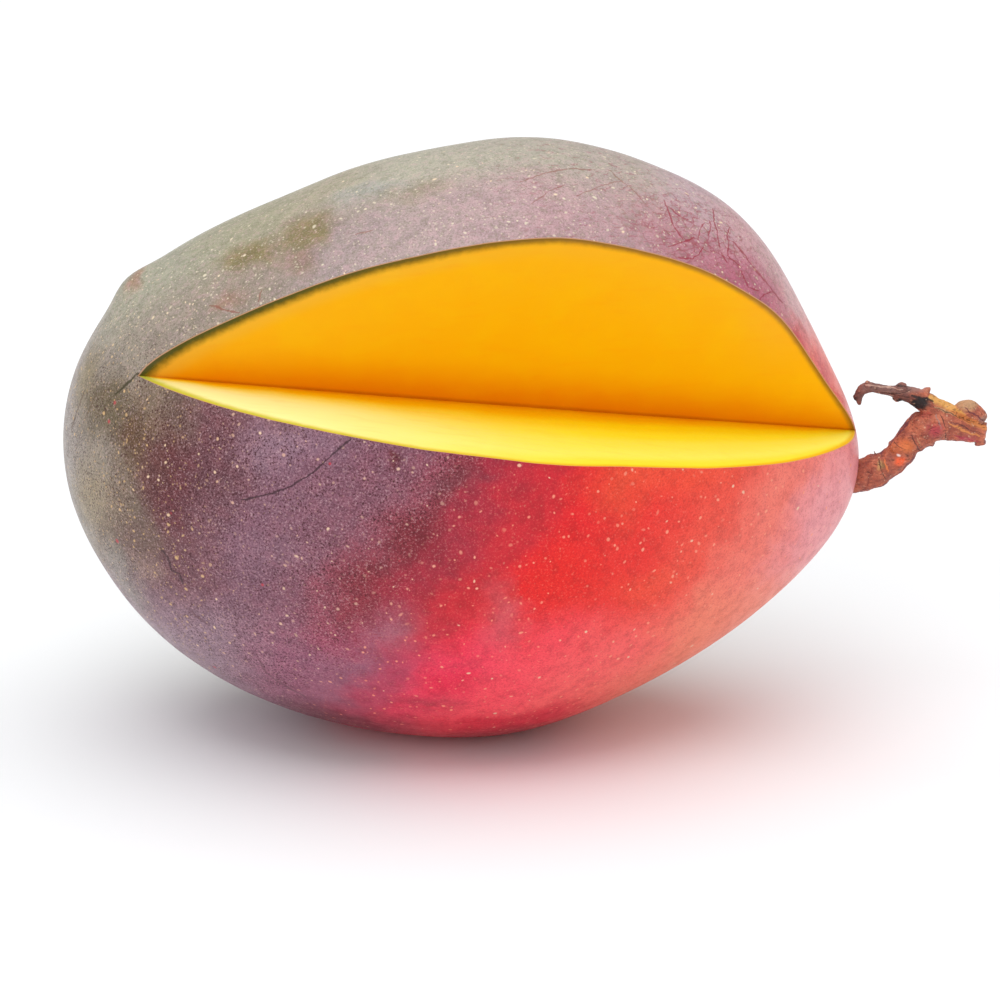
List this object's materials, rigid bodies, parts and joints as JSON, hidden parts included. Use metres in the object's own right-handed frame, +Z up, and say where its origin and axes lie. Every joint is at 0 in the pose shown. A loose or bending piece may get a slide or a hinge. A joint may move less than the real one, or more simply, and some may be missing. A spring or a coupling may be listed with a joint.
{
  "type": "mango",
  "caption": "Ripe mango lying on its side with its woody forked stem, and a wedge cut out of its front that shows orange flesh.",
  "frame": {"origin": "middle of the bounding box's bottom, on the surface that the fruit rests on", "axes": "+X along the fruit towards its stem, -Y towards the side with the wedge cut out, +Z up"},
  "size_m": [0.1454, 0.0844, 0.0939],
  "materials": {
    "skin": "waxy fruit skin, purple-red to scarlet with an olive and grey bloom and pale dots, satin",
    "flesh": "moist cut flesh, orange in the upper face and pale yellow in the lower one",
    "bark": "dry red-brown bark with pale bare wood along the break, matte"
  },
  "bodies": {
    "root": {"mango_fruit": "skin", "mango_stem": "bark"}
  },
  "joints": []
}
